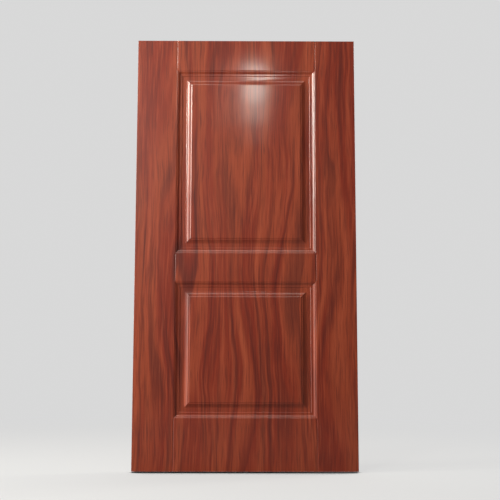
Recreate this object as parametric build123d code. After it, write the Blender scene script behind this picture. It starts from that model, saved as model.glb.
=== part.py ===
# Moulded interior door leaf with two raised panels, the same on both faces.
#
# The leaf is a sandwich. Two thin fibreboard skins, pressed to shape in one die, are glued to the
# two sides of a softwood frame: a hinge stile and a lock stile that run the full height, and a top
# rail and a bottom rail between them. A block behind each stile, at lock height, takes the lock on
# either side. Paper honeycomb fills the flat zones between the frame members, so that the skins
# don't drum. A band covers the two long edges. The pressing leaves two raised fields, each inside a
# ring of moulding with mitred corners, and embosses the joint lines that a joined door would have.
#
# Millimetres. X runs from the hinge edge (0) to the lock edge, Y from the front face to the back
# face with 0 in mid-thickness, Z up from the bottom edge.

import os

from build123d import *

# The leaf over all
LEAF_WIDTH = 1030.0
LEAF_HEIGHT = 2015.0
LEAF_THICKNESS = 40.0

# What shows on a face: flat stiles and rails round two moulded panels
STILE_FACE = 184.0
TOP_RAIL_FACE = 142.0
LOCK_RAIL_FACE = 125.0
BOTTOM_RAIL_FACE = 234.0
LOWER_PANEL_HEIGHT = 631.0

# The pressed skin
SKIN_THICKNESS = 3.2

# The moulding's section, from the flat face inwards: how far each member runs across and down
LIP_RUN = 4.5
LIP_DROP = 0.5
BEAD_RUN = 2.5
BEAD_DROP = 1.6
QUIRK_RUN = 3.0
QUIRK_DROP = 0.2
SLOPE_RUN = 9.0
SLOPE_DROP = 5.7
SHELF_RUN = 8.5
SHELF_DROP = 0.3
STEP_RUN = 3.0
STEP_DROP = 1.9
FLOOR_RUN = 19.5
BEVEL_RUN = 17.0
BEVEL_RISE = 8.1
LEDGE_RUN = 4.0
LEDGE_RISE = 0.2
FIELD_LIP_RUN = 4.0

# Radii that the press leaves where one member turns into the next
CRISP_RADIUS = 0.8
SOFT_RADIUS = 1.2
STEP_FOOT_RADIUS = 2.0
SLOPE_FOOT_RADIUS = 3.0
BEVEL_FOOT_RADIUS = 5.0
BEVEL_CREST_RADIUS = 2.0

# The embossed joint lines between stiles and rails, which stop just short of the mouldings
JOINT_LINE_WIDTH = 6.0
JOINT_LINE_FLOOR = 1.0
JOINT_LINE_DEPTH = 1.4
JOINT_LINE_LAND = 0.5

# The softwood frame
STILE_WIDTH = 38.0
TOP_RAIL_HEIGHT = 38.0
BOTTOM_RAIL_HEIGHT = 68.0

# The lock blocks
LOCK_BLOCK_WIDTH = 120.0
LOCK_BLOCK_HEIGHT = 480.0
LOCK_HEIGHT = 1000.0

# The band on the long edges
BAND_THICKNESS = 1.5
BAND_ARRIS = 1.0

# The honeycomb, which stays clear of the frame and of the back of the mouldings
CELL_WIDTH = 72.0
CELL_WALL = 1.2
CORE_CLEARANCE = 3.0

# Worked out from the sizes above
FRAME_THICKNESS = LEAF_THICKNESS - 2 * SKIN_THICKNESS
MOULDING_WIDTH = (
    LIP_RUN + BEAD_RUN + QUIRK_RUN + SLOPE_RUN + SHELF_RUN + STEP_RUN
    + FLOOR_RUN + BEVEL_RUN + LEDGE_RUN + FIELD_LIP_RUN
)
PANEL_LEFT = STILE_FACE
PANEL_RIGHT = LEAF_WIDTH - STILE_FACE
LOWER_PANEL_BOTTOM = BOTTOM_RAIL_FACE
LOWER_PANEL_TOP = BOTTOM_RAIL_FACE + LOWER_PANEL_HEIGHT
UPPER_PANEL_BOTTOM = LOWER_PANEL_TOP + LOCK_RAIL_FACE
UPPER_PANEL_TOP = LEAF_HEIGHT - TOP_RAIL_FACE


def box_between(x0, x1, y0, y1, z0, z1):
    """A block between two corners."""
    return Pos(x0, y0, z0) * Box(
        x1 - x0, y1 - y0, z1 - z0, align=(Align.MIN, Align.MIN, Align.MIN)
    )


def moulding_points():
    """The moulding's section as corner points, across and down, from the flat face to the field,
    which comes back up to the level of the face."""
    members = (
        (LIP_RUN, LIP_DROP),
        (BEAD_RUN, BEAD_DROP),
        (QUIRK_RUN, QUIRK_DROP),
        (SLOPE_RUN, SLOPE_DROP),
        (SHELF_RUN, SHELF_DROP),
        (STEP_RUN, STEP_DROP),
        (FLOOR_RUN, 0.0),
        (BEVEL_RUN, -BEVEL_RISE),
        (LEDGE_RUN, -LEDGE_RISE),
    )
    across, down = 0.0, 0.0
    points = [(across, -down)]
    for run, drop in members:
        across += run
        down += drop
        points.append((across, -down))
    points.append((MOULDING_WIDTH, 0.0))
    return points


def moulding_section():
    """The pressed skin cut across the moulding. The press thins the slopes, so that the skin is
    as deep everywhere, measured straight through the leaf."""
    radii = [
        CRISP_RADIUS,
        CRISP_RADIUS,
        SOFT_RADIUS,
        SLOPE_FOOT_RADIUS,
        SOFT_RADIUS,
        STEP_FOOT_RADIUS,
        BEVEL_FOOT_RADIUS,
        BEVEL_CREST_RADIUS,
        CRISP_RADIUS,
    ]
    face_line = FilletPolyline(*moulding_points(), radius=radii)
    back_line = Pos(0, -SKIN_THICKNESS) * face_line
    outer_side = Line(face_line @ 0, back_line @ 0)
    inner_side = Line(face_line @ 1, back_line @ 1)
    return make_face([face_line, inner_side, back_line, outer_side])


def mitred_run(section, length):
    """One side of a moulding ring, along X from 0, with the panel on its +Y side."""
    bar = extrude(Plane.YZ * section, amount=length)
    deepest = -min(y for x, y in moulding_points()) + SKIN_THICKNESS
    plan = Polygon(
        (0, 0),
        (length, 0),
        (length - MOULDING_WIDTH, MOULDING_WIDTH),
        (MOULDING_WIDTH, MOULDING_WIDTH),
        align=None,
    )
    wedge = Pos(0, 0, -deepest) * extrude(plan, amount=deepest)
    return bar & wedge


def moulding_ring(x0, x1, y0, y1):
    """The four mitred runs round a panel."""
    section = moulding_section()
    across = mitred_run(section, x1 - x0)
    along = mitred_run(section, y1 - y0)
    return [
        Pos(x0, y0) * across,
        Pos(x1, y0) * Rot(0, 0, 90) * along,
        Pos(x1, y1) * Rot(0, 0, 180) * across,
        Pos(x0, y1) * Rot(0, 0, 270) * along,
    ]


def flat_sheet(x0, x1, y0, y1):
    """Flat skin between two corners."""
    return box_between(x0, x1, y0, y1, -SKIN_THICKNESS, 0)


def joint_line(x_stile, inwards, y0, y1):
    """The groove that marks where a rail meets a stile, on the rail's side of the joint. It has a
    narrow floor between two slopes and a slope at each end."""
    middle = Pos(x_stile + inwards * JOINT_LINE_WIDTH / 2, (y0 + y1) / 2)
    slopes = JOINT_LINE_WIDTH - JOINT_LINE_FLOOR
    mouth = middle * Rectangle(JOINT_LINE_WIDTH, y1 - y0)
    floor = Pos(0, 0, -JOINT_LINE_DEPTH) * middle * Rectangle(JOINT_LINE_FLOOR, y1 - y0 - slopes)
    return loft([mouth, floor], ruled=True)


def moulded_skin():
    """One skin lying flat: X across the door, Y up it, the face at Z 0 and the leaf below."""
    panels = (
        (PANEL_LEFT, PANEL_RIGHT, LOWER_PANEL_BOTTOM, LOWER_PANEL_TOP),
        (PANEL_LEFT, PANEL_RIGHT, UPPER_PANEL_BOTTOM, UPPER_PANEL_TOP),
    )
    skin = flat_sheet(BAND_THICKNESS, LEAF_WIDTH - BAND_THICKNESS, 0, LEAF_HEIGHT)
    for x0, x1, y0, y1 in panels:
        skin -= flat_sheet(x0, x1, y0, y1)
    for x0, x1, y0, y1 in panels:
        field = flat_sheet(
            x0 + MOULDING_WIDTH,
            x1 - MOULDING_WIDTH,
            y0 + MOULDING_WIDTH,
            y1 - MOULDING_WIDTH,
        )
        skin = skin.fuse(*moulding_ring(x0, x1, y0, y1), field)
    run_out = JOINT_LINE_WIDTH
    rails = (
        (-run_out, LOWER_PANEL_BOTTOM - JOINT_LINE_LAND),
        (LOWER_PANEL_TOP + JOINT_LINE_LAND, UPPER_PANEL_BOTTOM - JOINT_LINE_LAND),
        (UPPER_PANEL_TOP + JOINT_LINE_LAND, LEAF_HEIGHT + run_out),
    )
    for y0, y1 in rails:
        skin -= joint_line(PANEL_LEFT, 1, y0, y1)
        skin -= joint_line(PANEL_RIGHT, -1, y0, y1)
    return skin


def front_skin(skin):
    face = Plane(origin=(0, -LEAF_THICKNESS / 2, 0), x_dir=(1, 0, 0), z_dir=(0, -1, 0))
    return face * skin


def back_skin(skin):
    """The same pressing, turned round to face the other way."""
    face = Plane(
        origin=(LEAF_WIDTH, LEAF_THICKNESS / 2, 0), x_dir=(-1, 0, 0), z_dir=(0, 1, 0)
    )
    return face * skin


def frame_member(x0, x1, z0, z1):
    """A piece that fills the space between the skins."""
    half = FRAME_THICKNESS / 2
    return box_between(x0, x1, -half, half, z0, z1)


HINGE_STILE_INSIDE = BAND_THICKNESS + STILE_WIDTH
LOCK_STILE_INSIDE = LEAF_WIDTH - BAND_THICKNESS - STILE_WIDTH


def frame_members():
    block_bottom = LOCK_HEIGHT - LOCK_BLOCK_HEIGHT / 2
    block_top = LOCK_HEIGHT + LOCK_BLOCK_HEIGHT / 2
    return {
        "hinge_stile": frame_member(BAND_THICKNESS, HINGE_STILE_INSIDE, 0, LEAF_HEIGHT),
        "lock_stile": frame_member(
            LOCK_STILE_INSIDE, LEAF_WIDTH - BAND_THICKNESS, 0, LEAF_HEIGHT
        ),
        "top_rail": frame_member(
            HINGE_STILE_INSIDE, LOCK_STILE_INSIDE, LEAF_HEIGHT - TOP_RAIL_HEIGHT, LEAF_HEIGHT
        ),
        "bottom_rail": frame_member(
            HINGE_STILE_INSIDE, LOCK_STILE_INSIDE, 0, BOTTOM_RAIL_HEIGHT
        ),
        "hinge_side_block": frame_member(
            HINGE_STILE_INSIDE, HINGE_STILE_INSIDE + LOCK_BLOCK_WIDTH, block_bottom, block_top
        ),
        "lock_block": frame_member(
            LOCK_STILE_INSIDE - LOCK_BLOCK_WIDTH, LOCK_STILE_INSIDE, block_bottom, block_top
        ),
    }


def honeycomb(x0, x1, z0, z1):
    """Paper honeycomb from skin to skin, stretched between those limits until its cells fill them.
    Every other row stands half a cell further along."""
    width = x1 - x0 - 2 * CELL_WALL
    height = z1 - z0 - 2 * CELL_WALL
    cell_height = CELL_WIDTH * 2 / 3**0.5
    rows = max(1, round((height / cell_height - 1 / 4) * 4 / 3))
    shift = 0 if rows == 1 else 1 / 2
    columns = max(1, round(width / CELL_WIDTH - shift))
    w = width / (columns + shift)
    h = height / (rows * 3 / 4 + 1 / 4)
    cell = Polygon((0, h / 2), (w / 2, h / 4), (w / 2, -h / 4), (0, -h / 2), (-w / 2, -h / 4), (-w / 2, h / 4))
    outside = offset(cell, CELL_WALL / 2, kind=Kind.INTERSECTION)
    inside = offset(cell, -CELL_WALL / 2, kind=Kind.INTERSECTION)
    places = [
        Pos((column + row % 2 * shift) * w, row * h * 3 / 4)
        for row in range(rows)
        for column in range(columns)
    ]
    walls = Sketch() + [place * outside for place in places]
    walls -= [place * inside for place in places]
    core = extrude(Plane.XZ * walls, amount=FRAME_THICKNESS / 2, both=True)
    middle = core.bounding_box().center()
    return Pos((x0 + x1) / 2 - middle.X, 0, (z0 + z1) / 2 - middle.Z) * core


def core_pieces():
    """Honeycomb in the flat zones between the mouldings, the frame and the lock blocks."""
    gap = CORE_CLEARANCE
    left = PANEL_LEFT + MOULDING_WIDTH + gap
    right = PANEL_RIGHT - MOULDING_WIDTH - gap
    block_bottom = LOCK_HEIGHT - LOCK_BLOCK_HEIGHT / 2
    block_top = LOCK_HEIGHT + LOCK_BLOCK_HEIGHT / 2
    hinge_side = (HINGE_STILE_INSIDE + gap, PANEL_LEFT - gap)
    lock_side = (PANEL_RIGHT + gap, LOCK_STILE_INSIDE - gap)
    below_blocks = (BOTTOM_RAIL_HEIGHT + gap, block_bottom - gap)
    above_blocks = (block_top + gap, LEAF_HEIGHT - TOP_RAIL_HEIGHT - gap)
    between = (PANEL_LEFT + gap, PANEL_RIGHT - gap)
    zones = {
        "lower_panel_core": (
            left,
            right,
            LOWER_PANEL_BOTTOM + MOULDING_WIDTH + gap,
            LOWER_PANEL_TOP - MOULDING_WIDTH - gap,
        ),
        "upper_panel_core": (
            left,
            right,
            UPPER_PANEL_BOTTOM + MOULDING_WIDTH + gap,
            UPPER_PANEL_TOP - MOULDING_WIDTH - gap,
        ),
        "bottom_rail_core": (*between, BOTTOM_RAIL_HEIGHT + gap, LOWER_PANEL_BOTTOM - gap),
        "lock_rail_core": (*between, LOWER_PANEL_TOP + gap, UPPER_PANEL_BOTTOM - gap),
        "top_rail_core": (*between, UPPER_PANEL_TOP + gap, LEAF_HEIGHT - TOP_RAIL_HEIGHT - gap),
        "hinge_side_lower_core": (*hinge_side, *below_blocks),
        "hinge_side_upper_core": (*hinge_side, *above_blocks),
        "lock_side_lower_core": (*lock_side, *below_blocks),
        "lock_side_upper_core": (*lock_side, *above_blocks),
    }
    return {name: honeycomb(*zone) for name, zone in zones.items()}


def edge_band(x0):
    """The strip on a long edge, with its two outer arrises rounded over."""
    half = LEAF_THICKNESS / 2
    band = box_between(0, BAND_THICKNESS, -half, half, 0, LEAF_HEIGHT)
    outer_arrises = band.edges().filter_by(Axis.Z).group_by(Axis.X)[0]
    band = fillet(outer_arrises, BAND_ARRIS)
    if x0 == 0:
        return band
    return Pos(LEAF_WIDTH, 0, 0) * Rot(0, 0, 180) * band


def door_leaf():
    skin = moulded_skin()
    pieces = {
        "front_skin": front_skin(skin),
        "back_skin": back_skin(skin),
        "hinge_edge_band": edge_band(0),
        "lock_edge_band": edge_band(LEAF_WIDTH),
    }
    pieces.update(frame_members())
    pieces.update(core_pieces())
    return pieces


os.makedirs("parts", exist_ok=True)
for name, piece in door_leaf().items():
    export_step(piece, f"parts/{name}.step")
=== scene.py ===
import math

import bmesh
import bpy
from mathutils import Matrix, Vector


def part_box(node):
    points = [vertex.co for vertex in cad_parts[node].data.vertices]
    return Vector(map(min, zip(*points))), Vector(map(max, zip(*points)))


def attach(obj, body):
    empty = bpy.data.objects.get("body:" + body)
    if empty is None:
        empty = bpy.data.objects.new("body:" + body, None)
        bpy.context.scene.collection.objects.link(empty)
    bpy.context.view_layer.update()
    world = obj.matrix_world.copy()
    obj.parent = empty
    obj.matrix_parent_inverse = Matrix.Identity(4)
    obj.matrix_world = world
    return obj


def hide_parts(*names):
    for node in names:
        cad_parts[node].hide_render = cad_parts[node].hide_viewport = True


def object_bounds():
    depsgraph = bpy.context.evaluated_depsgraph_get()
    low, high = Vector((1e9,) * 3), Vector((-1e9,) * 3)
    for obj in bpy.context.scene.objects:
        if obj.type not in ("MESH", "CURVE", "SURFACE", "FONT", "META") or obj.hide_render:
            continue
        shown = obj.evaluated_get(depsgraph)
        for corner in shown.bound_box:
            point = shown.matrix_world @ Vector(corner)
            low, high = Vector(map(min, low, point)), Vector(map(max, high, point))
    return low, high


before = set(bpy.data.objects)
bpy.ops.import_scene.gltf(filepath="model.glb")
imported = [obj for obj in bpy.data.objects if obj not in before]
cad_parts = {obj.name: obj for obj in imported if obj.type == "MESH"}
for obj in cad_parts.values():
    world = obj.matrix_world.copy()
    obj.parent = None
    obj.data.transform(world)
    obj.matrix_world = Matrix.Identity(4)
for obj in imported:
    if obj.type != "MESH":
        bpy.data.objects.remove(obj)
cad_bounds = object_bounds()

# The photographer's place. The door's four corners in the photograph give it: a low camera on the
# leaf's centre line, four metres off, looking up a little.
CAMERA_PLACE = (0.516, -4.051, 0.541)
CAMERA_PITCH = math.radians(6.617)
CAMERA_YAW = math.radians(0.274)
CAMERA_ROLL = math.radians(0.113)
LENS_MM = 62.8
SENSOR_MM = 36.0

camera_data = bpy.data.cameras.new("camera")
camera_data.lens = LENS_MM
camera_data.sensor_width = SENSOR_MM
camera = bpy.data.objects.new("camera", camera_data)
bpy.context.scene.collection.objects.link(camera)
camera.matrix_world = (
    Matrix.Translation(CAMERA_PLACE)
    @ Matrix.Rotation(-CAMERA_YAW, 4, "Z")
    @ Matrix.Rotation(math.pi / 2 + CAMERA_PITCH, 4, "X")
    @ Matrix.Rotation(CAMERA_ROLL, 4, "Z")
)
bpy.context.scene.camera = camera
bpy.context.scene.view_settings.view_transform = "Standard"

# The two pressed skins. Each is one sheet of 3.2 mm fibreboard, pressed hot between steel dies that
# leave two raised fields in mitred mouldings and a fine groove where a rail would meet a stile.
leaf_low, leaf_high = cad_bounds
skin_low, skin_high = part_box("front_skin")
LEAF_WIDTH = leaf_high[0] - leaf_low[0]
LEAF_HEIGHT = leaf_high[2] - leaf_low[2]
FACE = skin_low.y
SKIN_EDGE = skin_low.x
SKIN_THICKNESS = 0.0032
STILE_FACE = 0.184
TOP_RAIL_FACE = 0.142
LOCK_RAIL_FACE = 0.125
BOTTOM_RAIL_FACE = 0.234
LOWER_PANEL_HEIGHT = 0.631
JOINT_LINE_WIDTH = 0.006
JOINT_LINE_FLOOR = 0.001
JOINT_LINE_DEPTH = 0.0014
JOINT_LINE_LAND = 0.0005
# How a joint line's side goes down, as shares of its run and of the line's depth.
JOINT_LINE_SIDE = ((0.0, 0.0), (0.12, 0.1), (0.88, 0.86), (1.0, 1.0))

# The moulding's members, from the flat face inwards: how far each runs across and goes down, or up
# where that is negative, and the radius that the press leaves where it meets the next, all in
# millimetres.
MOULDING_MEMBERS = (
    ("lip", 4.5, 0.5, 0.8),
    ("bead", 2.5, 1.6, 0.8),
    ("quirk", 3.0, 0.2, 1.2),
    ("steep_slope", 4.5, 3.1, 30.0),
    ("slope", 4.5, 2.6, 3.0),
    ("shelf", 8.95, 0.3, 1.2),
    ("step", 2.55, 1.9, 2.0),
    ("floor", 19.5, 0.0, 12.0),
    ("bevel_foot", 5.5, -1.95, 40.0),
    ("bevel", 6.0, -2.9, 40.0),
    ("bevel_crest", 5.5, -3.25, 2.0),
    ("ledge", 4.0, -0.2, 0.8),
    ("field_lip", 4.0, -1.9, 0.0),
)
FACETS_PER_BEND = 7
PANEL_CORNERS = 4
CRISP_EDGE = math.radians(7)
MILLIMETRE = 0.001
TOUCHING = 0.001 * MILLIMETRE


def add_node(tree, kind, inputs=None, **options):
    """Adds a node with its options, and fills or links its inputs by name or number."""
    node = tree.nodes.new(kind)
    for option, value in options.items():
        setattr(node, option, value)
    for socket, value in (inputs or {}).items():
        if isinstance(value, bpy.types.NodeSocket):
            tree.links.new(value, node.inputs[socket])
        else:
            node.inputs[socket].default_value = value
    return node


def moulding_tree():
    """Runs the moulding's section round a panel, with a mitre in each corner."""
    tree = bpy.data.node_groups.new("moulding_round_panel", "GeometryNodeTree")
    sockets = tree.interface
    sockets.new_socket("Section", in_out="INPUT", socket_type="NodeSocketGeometry")
    for name in ("Left", "Right", "Bottom", "Top", "Face"):
        sockets.new_socket(name, in_out="INPUT", socket_type="NodeSocketFloat")
    sockets.new_socket("Facets per bend", in_out="INPUT", socket_type="NodeSocketInt")
    sockets.new_socket("Foil", in_out="INPUT", socket_type="NodeSocketMaterial")
    sockets.new_socket("Moulding", in_out="OUTPUT", socket_type="NodeSocketGeometry")
    given = add_node(tree, "NodeGroupInput").outputs

    line = add_node(tree, "GeometryNodeMeshToCurve", {"Mesh": given["Section"]})
    radius = add_node(tree, "GeometryNodeInputNamedAttribute", {"Name": "press_radius"})
    rounded = add_node(
        tree,
        "GeometryNodeFilletCurve",
        {
            "Curve": line.outputs["Curve"],
            "Radius": radius.outputs["Attribute"],
            "Limit Radius": True,
            "Count": given["Facets per bend"],
        },
        mode="POLY",
    )
    section = add_node(tree, "GeometryNodeCurveToMesh", {"Curve": rounded.outputs["Curve"]})
    size = add_node(
        tree,
        "GeometryNodeAttributeDomainSize",
        {"Geometry": section.outputs["Mesh"]},
        component="MESH",
    )
    points = size.outputs["Point Count"]

    # One row of the sheet is the section at one corner: lower left, lower right, upper right, upper
    # left, and lower left again, where the ring closes.
    sheet = add_node(
        tree,
        "GeometryNodeMeshGrid",
        {"Size X": 1.0, "Size Y": 1.0, "Vertices X": PANEL_CORNERS + 1, "Vertices Y": points},
    )
    index = add_node(tree, "GeometryNodeInputIndex").outputs["Index"]
    along = add_node(tree, "ShaderNodeMath", {0: index, 1: points}, operation="MODULO")
    turns = add_node(tree, "ShaderNodeMath", {0: index, 1: points}, operation="DIVIDE")
    turn = add_node(tree, "ShaderNodeMath", {0: turns.outputs[0]}, operation="FLOOR")
    corner = add_node(
        tree, "ShaderNodeMath", {0: turn.outputs[0], 1: PANEL_CORNERS}, operation="MODULO"
    )
    at = add_node(
        tree,
        "GeometryNodeSampleIndex",
        {
            "Geometry": section.outputs["Mesh"],
            "Value": add_node(tree, "GeometryNodeInputPosition").outputs["Position"],
            "Index": along.outputs[0],
        },
        data_type="FLOAT_VECTOR",
        domain="POINT",
    )
    member = add_node(tree, "ShaderNodeSeparateXYZ", {"Vector": at.outputs["Value"]}).outputs

    # Corners 1 and 2 are on the right, and 2 and 3 at the top.
    on_right = add_node(
        tree, "ShaderNodeMath", {0: corner.outputs[0], 1: 1.5, 2: 0.6}, operation="COMPARE"
    )
    upper = add_node(
        tree, "ShaderNodeMath", {0: corner.outputs[0], 1: 1.5}, operation="GREATER_THAN"
    )
    from_left = add_node(tree, "ShaderNodeMath", {0: given["Left"], 1: member["X"]})
    from_right = add_node(
        tree, "ShaderNodeMath", {0: given["Right"], 1: member["X"]}, operation="SUBTRACT"
    )
    from_bottom = add_node(tree, "ShaderNodeMath", {0: given["Bottom"], 1: member["X"]})
    from_top = add_node(
        tree, "ShaderNodeMath", {0: given["Top"], 1: member["X"]}, operation="SUBTRACT"
    )
    across = add_node(
        tree,
        "ShaderNodeMix",
        {0: on_right.outputs[0], 2: from_left.outputs[0], 3: from_right.outputs[0]},
        data_type="FLOAT",
    )
    height = add_node(
        tree,
        "ShaderNodeMix",
        {0: upper.outputs[0], 2: from_bottom.outputs[0], 3: from_top.outputs[0]},
        data_type="FLOAT",
    )
    depth = add_node(
        tree, "ShaderNodeMath", {0: given["Face"], 1: member["Y"]}, operation="SUBTRACT"
    )
    place = add_node(
        tree,
        "ShaderNodeCombineXYZ",
        {"X": across.outputs[0], "Y": depth.outputs[0], "Z": height.outputs[0]},
    )
    ring = add_node(
        tree,
        "GeometryNodeSetPosition",
        {"Geometry": sheet.outputs["Mesh"], "Position": place.outputs["Vector"]},
    )
    closed = add_node(
        tree,
        "GeometryNodeMergeByDistance",
        {"Geometry": ring.outputs["Geometry"], "Distance": TOUCHING},
    )
    real = add_node(
        tree, "GeometryNodeRealizeInstances", {"Geometry": closed.outputs["Geometry"]}
    )
    foiled = add_node(
        tree,
        "GeometryNodeSetMaterial",
        {"Geometry": real.outputs["Geometry"], "Material": given["Foil"]},
    )
    add_node(tree, "NodeGroupOutput", {"Moulding": foiled.outputs["Geometry"]})
    return tree


def moulding_section():
    """The moulding's section as a line: across in X, down in -Y, with a radius at each corner."""
    corners, radii = [(0.0, 0.0, 0.0)], [0.0]
    for name, run, drop, radius in MOULDING_MEMBERS:
        across, level, _ = corners[-1]
        corners.append((across + run * MILLIMETRE, level - drop * MILLIMETRE, 0.0))
        radii.append(radius * MILLIMETRE)
    line = bpy.data.meshes.new("moulding_section")
    line.from_pydata(corners, [(i, i + 1) for i in range(len(corners) - 1)], [])
    line.attributes.new("press_radius", "FLOAT", "POINT").data.foreach_set("value", radii)
    return line


def moulding_mesh(tree, panel, foil):
    """One panel's moulding as a plain mesh."""
    piece = bpy.data.objects.new("moulding", moulding_section())
    bpy.context.scene.collection.objects.link(piece)
    modifier = piece.modifiers.new("moulding", "NODES")
    modifier.node_group = tree
    left, right, bottom, top = panel
    chosen = {
        "Left": left,
        "Right": right,
        "Bottom": bottom,
        "Top": top,
        "Face": FACE,
        "Facets per bend": FACETS_PER_BEND,
        "Foil": foil,
    }
    for item in tree.interface.items_tree:
        if item.in_out == "INPUT" and item.name in chosen:
            modifier[item.identifier] = chosen[item.name]
    evaluated = piece.evaluated_get(bpy.context.evaluated_depsgraph_get())
    mesh = bpy.data.meshes.new_from_object(evaluated)
    bpy.data.objects.remove(piece)
    return mesh


def skin_mesh(foil, board):
    """The whole pressed sheet, as deep behind each point of its face as the board is thick."""
    left, right = STILE_FACE, LEAF_WIDTH - STILE_FACE
    lower = (left, right, BOTTOM_RAIL_FACE, BOTTOM_RAIL_FACE + LOWER_PANEL_HEIGHT)
    upper = (left, right, lower[3] + LOCK_RAIL_FACE, LEAF_HEIGHT - TOP_RAIL_FACE)
    moulding_width = sum(run for _, run, _, _ in MOULDING_MEMBERS) * MILLIMETRE
    sheet = bmesh.new()

    def flat(*corners):
        """A face through points given by their place across, up and below the face."""
        sheet.faces.new([sheet.verts.new((x, FACE + down, z)) for x, z, down in corners])

    def joint_line(x0, x1, z0, z1, open_below, open_above):
        """The groove between a stile and a rail: two sides, a narrow floor and closed ends."""
        slope = (JOINT_LINE_WIDTH - JOINT_LINE_FLOOR) / 2
        steps = [(across * slope, down * JOINT_LINE_DEPTH) for across, down in JOINT_LINE_SIDE]
        columns = [(x0 + off, off, down) for off, down in steps]
        columns += [(x1 - off, off, down) for off, down in reversed(steps)]
        ends = []
        for x, off, down in columns:
            ends.append((x, z0 if open_below else z0 + off, z1 if open_above else z1 - off, down))
        for (xa, la, ha, da), (xb, lb, hb, db) in zip(ends, ends[1:]):
            flat((xa, la, da), (xb, lb, db), (xb, hb, db), (xa, ha, da))
        for i in range(len(steps) - 1):
            (xa, la, ha, da), (xb, lb, hb, db) = ends[i], ends[i + 1]
            (xd, ld, hd, dd), (xc, lc, hc, dc) = ends[-1 - i], ends[-2 - i]
            if not open_below:
                flat((xa, la, da), (xd, ld, dd), (xc, lc, dc), (xb, lb, db))
            if not open_above:
                flat((xb, hb, db), (xc, hc, dc), (xd, hd, dd), (xa, ha, da))

    tree = moulding_tree()
    for panel in (lower, upper):
        run = moulding_mesh(tree, panel, foil)
        sheet.from_mesh(run)
        bpy.data.meshes.remove(run)
        x0, x1, z0, z1 = panel
        x0, x1, z0, z1 = (
            x0 + moulding_width,
            x1 - moulding_width,
            z0 + moulding_width,
            z1 - moulding_width,
        )
        flat((x0, z0, 0), (x1, z0, 0), (x1, z1, 0), (x0, z1, 0))

    rails = ((0.0, lower[2]), (lower[3], upper[2]), (upper[3], LEAF_HEIGHT))
    line_ends = []
    for low, high in rails:
        first, last = low == 0.0, high == LEAF_HEIGHT
        z0 = low if first else low + JOINT_LINE_LAND
        z1 = high if last else high - JOINT_LINE_LAND
        line_ends += [z for z in (low, z0, z1, high) if z not in line_ends]
        inner_left, inner_right = left + JOINT_LINE_WIDTH, right - JOINT_LINE_WIDTH
        joint_line(left, inner_left, z0, z1, first, last)
        joint_line(inner_right, right, z0, z1, first, last)
        below = [(inner_left, z0, 0), (inner_right, z0, 0)]
        above = [(inner_right, z1, 0), (inner_left, z1, 0)]
        if not first:
            land = [(left, z0, 0), (left, low, 0), (right, low, 0), (right, z0, 0)]
            below = [below[0], *land, below[1]]
        if not last:
            land = [(right, z1, 0), (right, high, 0), (left, high, 0), (left, z1, 0)]
            above = [above[0], *land, above[1]]
        flat(*below, *above)
    heights = sorted(line_ends)
    skin_right = LEAF_WIDTH - SKIN_EDGE
    flat((SKIN_EDGE, 0, 0), *[(left, z, 0) for z in heights], (SKIN_EDGE, LEAF_HEIGHT, 0))
    flat((skin_right, LEAF_HEIGHT, 0), *[(right, z, 0) for z in reversed(heights)], (skin_right, 0, 0))

    bmesh.ops.remove_doubles(sheet, verts=sheet.verts, dist=TOUCHING)
    face_side = list(sheet.faces)
    back = bmesh.ops.extrude_face_region(sheet, geom=face_side, use_keep_orig=True)["geom"]
    for point in back:
        if isinstance(point, bmesh.types.BMVert):
            point.co.y += SKIN_THICKNESS
    foiled = set(face_side)
    for face in sheet.faces:
        face.material_index = 0 if face in foiled else 1
        face.smooth = True
    bmesh.ops.recalc_face_normals(sheet, faces=sheet.faces)
    for edge in sheet.edges:
        edge.smooth = edge.calc_face_angle(math.pi) < CRISP_EDGE
    mesh = bpy.data.meshes.new("pressed_skin")
    sheet.to_mesh(mesh)
    sheet.free()
    mesh.materials.clear()
    mesh.materials.append(foil)
    mesh.materials.append(board)
    return mesh


def linear(hex_colour):
    """An sRGB hex colour as linear RGBA."""
    parts = [int(hex_colour[i:i + 2], 16) / 255 for i in (1, 3, 5)]
    return [c / 12.92 if c <= 0.04045 else ((c + 0.055) / 1.055) ** 2.4 for c in parts] + [1.0]


def new_material(name):
    """An empty node material, with its tree and its output's surface socket."""
    material = bpy.data.materials.new(name)
    material.use_nodes = True
    tree = material.node_tree
    tree.nodes.clear()
    return material, tree, add_node(tree, "ShaderNodeOutputMaterial").inputs["Surface"]


# Mahogany-look foil: printed paper under a clear gloss lacquer, laid over the pressing in one
# piece, so that the grain runs on across stiles, rails and mouldings. The lacquer gives sharp,
# bright reflections, and the print below it stays soft and warm.
FOIL_WINE = "#84260b"
FOIL_BROWN = "#9a3f21"
FOIL_LIGHT = "#b05031"
FOIL_DARK = "#501004"
FOIL_LINE = "#4e0f04"
# The layers of the print as streak width and length in millimetres. The real print's hairlines are
# under a millimetre wide, and these are drawn wider, so that they show.
SWAY_MM = (300, 560)
FIGURE_MM = (190, 1300)
HUE_MM = (70, 1200)
STREAK_MM = (34, 800)
PORE_MM = (8, 260)
RING_WANDER_MM = (50, 2500)
STRONG_RINGS_MM = (64, 1250)
HAIRLINE_MM = (3.4, 120)
RIPPLE_MM = (30, 60)
SWAY_REACH = 0.06
FIGURE_REACH = 0.3
RINGS_PER_METRE = 16.0
RIPPLE_HEIGHT = 0.01 * MILLIMETRE
LACQUER_ROUGHNESS = 0.1
# Where each skin's sheet of foil is cut from the roll: metres along it, and the print's seed.
FRONT_CUT = (0.0, 0.0)
BACK_CUT = (3.7, 40.0)


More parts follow.
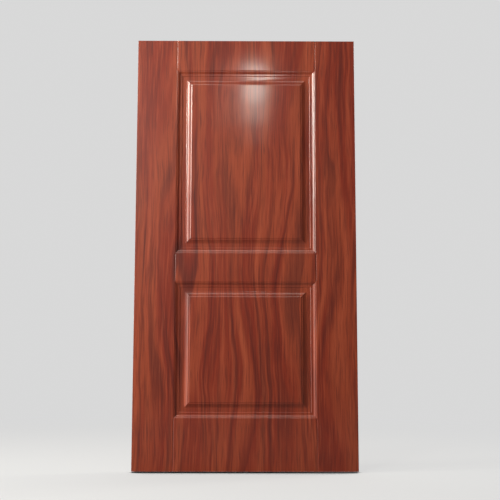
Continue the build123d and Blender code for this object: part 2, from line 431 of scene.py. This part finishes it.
def print_layer(tree, place, streak_mm, detail, seed):
    """A layer of the print: soft streaks of that width and length, as a value round a half."""
    across_mm, along_mm = streak_mm
    spread = add_node(
        tree,
        "ShaderNodeMapping",
        {
            "Vector": place,
            "Location": (0, 0, seed),
            "Scale": (1000 / across_mm, 1000 / along_mm, 1),
        },
    )
    layer = add_node(
        tree,
        "ShaderNodeTexNoise",
        {"Vector": spread.outputs["Vector"], "Scale": 1.0, "Detail": detail, "Roughness": 0.5},
    )
    return layer.outputs[0]


def share(tree, value, none_at, all_at, most=1.0):
    """How much of a colour a layer's value gives: none at one value, the most at another."""
    shares = {"Value": value, "From Min": none_at, "From Max": all_at, "To Max": most}
    return add_node(
        tree, "ShaderNodeMapRange", shares, interpolation_type="SMOOTHSTEP"
    ).outputs["Result"]


def printed_over(tree, amount, below, above):
    """One ink over what is printed already."""
    inks = {0: amount, 6: below, 7: above}
    return add_node(tree, "ShaderNodeMix", inks, data_type="RGBA").outputs[2]


def foil_material(name, sideways, shift, seed, lacquer_roughness):
    """Printed foil with its grain up the leaf, taken from its own part of the printing roll."""
    material, tree, surface = new_material(name)
    place = add_node(tree, "ShaderNodeTexCoord").outputs["Object"]
    at = add_node(tree, "ShaderNodeSeparateXYZ", {"Vector": place}).outputs
    across = add_node(tree, "ShaderNodeMath", {0: at[sideways], 1: shift}).outputs[0]
    sheet = add_node(tree, "ShaderNodeCombineXYZ", {"X": across, "Y": at["Z"]}).outputs[0]

    # The grain sways up the leaf, and the slower figure bends it on into arches.
    sway = print_layer(tree, sheet, SWAY_MM, 3.0, seed)
    swayed = add_node(
        tree, "ShaderNodeMath", {0: sway, 1: SWAY_REACH, 2: across}, operation="MULTIPLY_ADD"
    ).outputs[0]
    fibres = add_node(tree, "ShaderNodeCombineXYZ", {"X": swayed, "Y": at["Z"]}).outputs[0]
    figure = print_layer(tree, fibres, FIGURE_MM, 1.0, seed + 3)
    grown = add_node(
        tree, "ShaderNodeMath", {0: figure, 1: FIGURE_REACH, 2: swayed}, operation="MULTIPLY_ADD"
    ).outputs[0]
    growth = add_node(tree, "ShaderNodeCombineXYZ", {"X": grown, "Y": at["Z"]}).outputs[0]

    # Wine and brown drift into each other, then come dark and light streaks, and the pores.
    hue = print_layer(tree, growth, HUE_MM, 2.0, seed + 9)
    colour = printed_over(
        tree, share(tree, hue, 0.38, 0.62), linear(FOIL_WINE), linear(FOIL_BROWN)
    )
    streak = print_layer(tree, growth, STREAK_MM, 3.0, seed + 7)
    colour = printed_over(tree, share(tree, streak, 0.5, 0.28, 0.65), colour, linear(FOIL_DARK))
    colour = printed_over(tree, share(tree, streak, 0.5, 0.72, 0.6), colour, linear(FOIL_LIGHT))
    pore = print_layer(tree, fibres, PORE_MM, 3.0, seed + 5)
    colour = printed_over(tree, share(tree, pore, 0.5, 0.25, 0.55), colour, linear(FOIL_DARK))
    colour = printed_over(tree, share(tree, pore, 0.5, 0.75, 0.5), colour, linear(FOIL_LIGHT))

    # Growth rings: each darkens slowly to its edge and ends at once, some of them stronger.
    wander = print_layer(tree, growth, RING_WANDER_MM, 1.0, seed + 13)
    rings = add_node(
        tree, "ShaderNodeMath", {0: grown, 1: RINGS_PER_METRE, 2: wander}, operation="MULTIPLY_ADD"
    ).outputs[0]
    ring = add_node(tree, "ShaderNodeMath", {0: rings}, operation="FRACT").outputs[0]
    edge = add_node(
        tree,
        "ShaderNodeMath",
        {0: share(tree, ring, 0.6, 0.96), 1: share(tree, ring, 1.0, 0.96)},
        operation="MULTIPLY",
    ).outputs[0]
    strength = print_layer(tree, growth, STRONG_RINGS_MM, 1.0, seed + 17)
    strong = share(tree, strength, 0.42, 0.62, 0.55)
    line = add_node(tree, "ShaderNodeMath", {0: edge, 1: strong}, operation="MULTIPLY").outputs[0]
    colour = printed_over(tree, line, colour, linear(FOIL_LINE))
    hairline = print_layer(tree, fibres, HAIRLINE_MM, 3.0, seed + 11)
    colour = printed_over(tree, share(tree, hairline, 0.5, 0.3, 0.55), colour, linear(FOIL_DARK))

    # The lacquer isn't quite flat, so that reflections waver a little.
    ripple = print_layer(tree, sheet, RIPPLE_MM, 1.0, seed + 19)
    bump = add_node(
        tree, "ShaderNodeBump", {"Strength": 1.0, "Distance": RIPPLE_HEIGHT, "Height": ripple}
    ).outputs["Normal"]
    shader = add_node(
        tree,
        "ShaderNodeBsdfPrincipled",
        {
            "Base Color": colour,
            "Roughness": 0.45,
            "IOR": 1.5,
            "Specular IOR Level": 0.38,
            "Coat Weight": 1.0,
            "Coat Roughness": lacquer_roughness,
            "Coat IOR": 1.5,
            "Normal": bump,
            "Coat Normal": bump,
        },
    )
    tree.links.new(shader.outputs[0], surface)
    return material


# Raw fibreboard, where the skin is cut: a matt felt of short brown fibres.
BOARD_DARK = "#6e4c30"
BOARD_LIGHT = "#93704a"
FELT_MM = (1.6, 0.8)


def board_material():
    """The skin's cut edge and the inner side of the sheet."""
    material, tree, surface = new_material("fibreboard_cut_edge")
    place = add_node(tree, "ShaderNodeTexCoord").outputs["Object"]
    felt = print_layer(tree, place, FELT_MM, 3.0, 2.0)
    colour = printed_over(tree, share(tree, felt, 0.35, 0.65), linear(BOARD_DARK), linear(BOARD_LIGHT))
    shader = add_node(
        tree, "ShaderNodeBsdfPrincipled", {"Base Color": colour, "Roughness": 0.85}
    )
    tree.links.new(shader.outputs[0], surface)
    return material


def put_in_scene(name, mesh):
    """An object at the origin, unturned, with its place in its mesh."""
    piece = bpy.data.objects.new(name, mesh)
    bpy.context.scene.collection.objects.link(piece)
    return piece


board = board_material()
front_foil = foil_material("mahogany_foil_front", "X", *FRONT_CUT, LACQUER_ROUGHNESS)
front_mesh = skin_mesh(front_foil, board)
back_mesh = front_mesh.copy()
back_mesh.materials[0] = foil_material("mahogany_foil_back", "X", *BACK_CUT, LACQUER_ROUGHNESS)
half_turn = Matrix.Translation((LEAF_WIDTH / 2, 0, 0)) @ Matrix.Rotation(math.pi, 4, "Z")
back_mesh.transform(half_turn @ Matrix.Translation((-LEAF_WIDTH / 2, 0, 0)))
for name, mesh in (("front_skin", front_mesh), ("back_skin", back_mesh)):
    skin = put_in_scene("pressed_" + name, mesh)
    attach(skin, "root")
    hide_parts(name)

# The edge bands: strips of the same mahogany foil on a thin core, glued over the leaf's two long
# edges and rounded over at the arrises. Their grain runs up the edge, and their lacquer is a little
# duller than the faces'.
BAND_CUT = (5.1, 80.0)
BAND_LACQUER_ROUGHNESS = 0.35


def finish_nodes(names, material):
    """CAD pieces that keep their shape get a material in each of their slots."""
    for name in names:
        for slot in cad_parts[name].material_slots:
            slot.material = material


finish_nodes(
    ("hinge_edge_band", "lock_edge_band"),
    foil_material("mahogany_foil_edge", "Y", *BAND_CUT, BAND_LACQUER_ROUGHNESS),
)

# The softwood frame: planed pine stiles, rails and lock blocks, stapled at the corners and left bare.
# They show on the leaf's top and bottom edges, matt and straw yellow, with browner lines of late wood.
PINE_EARLY = "#dfc092"
PINE_LATE = "#bd8d56"
RING_MM = 3.2
PINE_WANDER_MM = (40, 500)
PINE_FIBRE_MM = (0.9, 60)
UPRIGHT_PITH = (0.43, 0.05, 0.0)
LEVEL_PITH = (0.93, 0.05, 0.0)


def pine_material(name, lengthwise, sideways, pith):
    """Pine with its grain along one axis and growth rings round a pith, which is placed from
    mid-leaf and mirrored there, so that pieces on both sides have one each."""
    material, tree, surface = new_material(name)
    place = add_node(tree, "ShaderNodeTexCoord").outputs["Object"]
    middle = (LEAF_WIDTH / 2, 0.0, LEAF_HEIGHT / 2)
    centred = add_node(tree, "ShaderNodeVectorMath", {0: place, 1: middle}, operation="SUBTRACT")
    mirrored = add_node(
        tree, "ShaderNodeVectorMath", {0: centred.outputs[0]}, operation="ABSOLUTE"
    ).outputs[0]
    at = add_node(tree, "ShaderNodeSeparateXYZ", {"Vector": mirrored}).outputs
    section = add_node(
        tree, "ShaderNodeCombineXYZ", {"X": at[sideways], "Y": at["Y"]}
    ).outputs[0]
    from_pith = add_node(tree, "ShaderNodeVectorMath", {0: section, 1: pith}, operation="DISTANCE")
    plank = add_node(
        tree, "ShaderNodeCombineXYZ", {"X": at[sideways], "Y": at[lengthwise]}
    ).outputs[0]
    wander = print_layer(tree, plank, PINE_WANDER_MM, 1.0, 3.0)
    rings = add_node(
        tree,
        "ShaderNodeMath",
        {0: from_pith.outputs["Value"], 1: 1000 / RING_MM, 2: wander},
        operation="MULTIPLY_ADD",
    ).outputs[0]
    ring = add_node(tree, "ShaderNodeMath", {0: rings}, operation="FRACT").outputs[0]
    late = add_node(
        tree,
        "ShaderNodeMath",
        {0: share(tree, ring, 0.35, 0.9), 1: share(tree, ring, 1.0, 0.93)},
        operation="MULTIPLY",
    ).outputs[0]
    colour = printed_over(tree, late, linear(PINE_EARLY), linear(PINE_LATE))
    fibre = print_layer(tree, plank, PINE_FIBRE_MM, 3.0, 7.0)
    colour = printed_over(tree, share(tree, fibre, 0.5, 0.25, 0.3), colour, linear(PINE_LATE))
    bump = add_node(
        tree, "ShaderNodeBump", {"Strength": 0.5, "Distance": 0.2 * MILLIMETRE, "Height": fibre}
    ).outputs["Normal"]
    shader = add_node(
        tree,
        "ShaderNodeBsdfPrincipled",
        {"Base Color": colour, "Roughness": 0.7, "Normal": bump},
    )
    tree.links.new(shader.outputs[0], surface)
    return material


finish_nodes(
    ("hinge_stile", "lock_stile", "hinge_side_block", "lock_block"),
    pine_material("pine_upright", "Z", "X", UPRIGHT_PITH),
)
finish_nodes(("top_rail", "bottom_rail"), pine_material("pine_level", "X", "Z", LEVEL_PITH))

# The honeycomb: brown kraft paper in open cells, glued on edge between the skins to keep them apart.
# It is closed in. The paper is matt, with a soft mottle of pulp, drawn a few millimetres wide.
KRAFT_DARK = "#a07c50"
KRAFT_LIGHT = "#c4a070"
PULP_MM = (6.0, 3.0)
paper, tree, surface = new_material("kraft_paper")
place = add_node(tree, "ShaderNodeTexCoord").outputs["Object"]
pulp = print_layer(tree, place, PULP_MM, 4.0, 5.0)
kraft = printed_over(tree, share(tree, pulp, 0.3, 0.7), linear(KRAFT_DARK), linear(KRAFT_LIGHT))
shader = add_node(tree, "ShaderNodeBsdfPrincipled", {"Base Color": kraft, "Roughness": 0.9})
tree.links.new(shader.outputs[0], surface)
finish_nodes([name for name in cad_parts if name.endswith("_core")], paper)

# The floor: a plain pale studio floor just under the leaf, which hangs clear of it as a door does.
# It takes the leaf's shadow, and far off fades into the pale background. Under the leaf it has a
# painted shade: a dark sheet that also drops the floor's glow, laid where ambient occlusion is low.
FLOOR_GAP = 0.006
FLOOR_RADIUS = 40.0
FLOOR_PALE = "#7c7c7c"
FLOOR_PAINTED_SHADE = "#1c1614"
FLOOR_BOUNCE = "#606060"
WHITE = "#ffffff"
FLOOR_GLOW = 0.535
SHADE_REACH = 0.12
FADE_FROM = 0.5
FADE_TO = 3.5
BACKGROUND = 0.69
MIRRORED_SHARE = 0.1
floor_mesh = bpy.data.meshes.new("floor")
shape = bmesh.new()
bmesh.ops.create_circle(shape, cap_ends=True, segments=96, radius=FLOOR_RADIUS)
shape.transform(Matrix.Translation((LEAF_WIDTH / 2, 0, -FLOOR_GAP)))
shape.to_mesh(floor_mesh)
shape.free()
floor = put_in_scene("floor", floor_mesh)
material, tree, surface = new_material("pale_floor")


def seen_share(tree):
    """1 for what the camera sees, also through glass, a part in a mirror, and 0 for bounced light."""
    path = add_node(tree, "ShaderNodeLightPath").outputs
    mirrored = add_node(
        tree, "ShaderNodeMath", {0: path["Is Glossy Ray"], 1: MIRRORED_SHARE}, operation="MULTIPLY"
    ).outputs[0]
    seen = path["Is Camera Ray"]
    for ray in (path["Is Transmission Ray"], mirrored):
        seen = add_node(tree, "ShaderNodeMath", {0: seen, 1: ray}, operation="MAXIMUM").outputs[0]
    return seen


seen = seen_share(tree)
bounced = add_node(tree, "ShaderNodeBsdfDiffuse", {"Color": linear(FLOOR_BOUNCE)}).outputs[0]
lit = add_node(tree, "ShaderNodeBsdfDiffuse", {"Color": linear(FLOOR_PALE)}).outputs[0]
# Painted shade under the leaf: where ambient occlusion is low, the floor turns to a dark sheet and
# loses its glow.
open_to_light = add_node(
    tree, "ShaderNodeAmbientOcclusion", {"Distance": SHADE_REACH}, samples=8
).outputs["AO"]
glow = add_node(
    tree, "ShaderNodeEmission", {"Color": linear(WHITE), "Strength": FLOOR_GLOW}
).outputs[0]
open_floor = add_node(tree, "ShaderNodeAddShader", {0: lit, 1: glow}).outputs[0]
painted_shade = add_node(tree, "ShaderNodeBsdfDiffuse", {"Color": linear(FLOOR_PAINTED_SHADE)}).outputs[0]
outside_painted_shade = share(tree, open_to_light, 0.45, 0.7)
near = add_node(
    tree, "ShaderNodeMixShader", {0: outside_painted_shade, 1: painted_shade, 2: open_floor}
).outputs[0]
horizon = add_node(
    tree, "ShaderNodeEmission", {"Color": linear(WHITE), "Strength": BACKGROUND}
).outputs[0]
place = add_node(tree, "ShaderNodeTexCoord").outputs["Object"]
away = add_node(tree, "ShaderNodeVectorMath", {0: place}, operation="LENGTH").outputs["Value"]
fade = add_node(
    tree,
    "ShaderNodeMapRange",
    {"Value": away, "From Min": FADE_FROM, "From Max": FADE_TO},
    interpolation_type="SMOOTHSTEP",
).outputs["Result"]
shown = add_node(tree, "ShaderNodeMixShader", {0: fade, 1: near, 2: horizon}).outputs[0]
pale = add_node(tree, "ShaderNodeMixShader", {0: seen, 1: bounced, 2: shown}).outputs[0]
tree.links.new(pale, surface)
floor_mesh.materials.append(material)

# The light: softboxes and a strip on the left whiten the slopes that face them, and two lamps rake
# across the mouldings. A front fill and two overhead softboxes lift the rest, and strips high in
# front make the bright streak. One more softbox and the pale room behind the leaf light its back.
FILL_BEHIND = 0.9
FILL_IN_FRONT = 0.04
FILL_STARTS = -0.2
FILL_IS_FULL = 0.6
world = bpy.data.worlds.new("studio")
world.use_nodes = True
bpy.context.scene.world = world
tree = world.node_tree
tree.nodes.clear()
ray = add_node(tree, "ShaderNodeTexCoord").outputs["Generated"]
depth = add_node(tree, "ShaderNodeSeparateXYZ", {"Vector": ray}).outputs["Y"]
room = add_node(
    tree,
    "ShaderNodeMapRange",
    {
        "Value": depth,
        "From Min": FILL_STARTS,
        "From Max": FILL_IS_FULL,
        "To Min": FILL_IN_FRONT,
        "To Max": FILL_BEHIND,
    },
    interpolation_type="SMOOTHSTEP",
).outputs["Result"]
strength = add_node(
    tree, "ShaderNodeMix", {0: seen_share(tree), 2: room, 3: BACKGROUND}, data_type="FLOAT"
).outputs[0]
sky = add_node(
    tree, "ShaderNodeBackground", {"Color": linear(WHITE), "Strength": strength}
).outputs[0]
add_node(tree, "ShaderNodeOutputWorld", {"Surface": sky})

LAMP_COLOUR = linear("#fffbf0")[:3]
# Each lamp's name, place, aim, width and height in metres, and power in watts.
LAMPS = (
    ("left_softbox_1", (-1.9, -1.5, 2.75), (0.5, 0.0, 1.2), (0.35, 0.7), 19.0),
    ("left_softbox_2", (-1.9, -1.5, 2.1), (0.5, 0.0, 1.2), (0.35, 0.6), 10.0),
    ("left_softbox_3", (-1.9, -1.5, 1.5), (0.5, 0.0, 1.2), (0.35, 0.6), 4.5),
    ("left_strip", (-1.74, -3.0, 2.45), (0.5, 0.0, 1.2), (0.2, 1.3), 25.0),
    ("raking_lamp_high", (-3.0, -0.95, 3.4), (0.5, 0.0, 1.2), (0.8, 0.8), 43.0),
    ("raking_lamp_low", (-6.0, -1.7, 1.2), (0.5, 0.0, 0.8), (0.8, 0.8), 385.0),
    ("front_fill", (-1.6, -4.4, 2.8), (0.5, 0.0, 1.0), (0.8, 0.8), 74.0),
    ("overhead_softbox_near", (0.45, -1.2, 4.1), (0.5, 0.0, 0.9), (1.8, 0.5), 7.1),
    ("overhead_softbox_far", (0.45, -2.3, 4.2), (0.5, 0.0, 0.9), (1.6, 0.5), 5.8),
    ("front_strip_middle", (0.594, -4.0, 3.06), (0.594, 0.0, 1.9), (0.2, 0.34), 2.8),
    ("front_strip_low", (0.594, -4.0, 2.78), (0.594, 0.0, 1.9), (0.22, 0.18), 0.62),
    ("front_strip_foot", (0.594, -4.0, 2.58), (0.594, 0.0, 1.9), (0.22, 0.2), 0.14),
    ("front_strip_wide", (0.36, -4.0, 2.95), (0.36, 0.0, 1.9), (0.26, 0.6), 0.28),
    ("rear_softbox", (3.4, 1.0, 2.7), (0.5, 0.0, 1.2), (0.6, 1.2), 60.0),
)
for name, place, aim, size, power in LAMPS:
    lamp = bpy.data.lights.new(name, "AREA")
    lamp.shape = "RECTANGLE"
    lamp.size, lamp.size_y = size
    lamp.energy = power
    lamp.color = LAMP_COLOUR
    holder = bpy.data.objects.new(name, lamp)
    bpy.context.scene.collection.objects.link(holder)
    holder.location = place
    holder.rotation_euler = (Vector(aim) - Vector(place)).to_track_quat("-Z", "Y").to_euler()
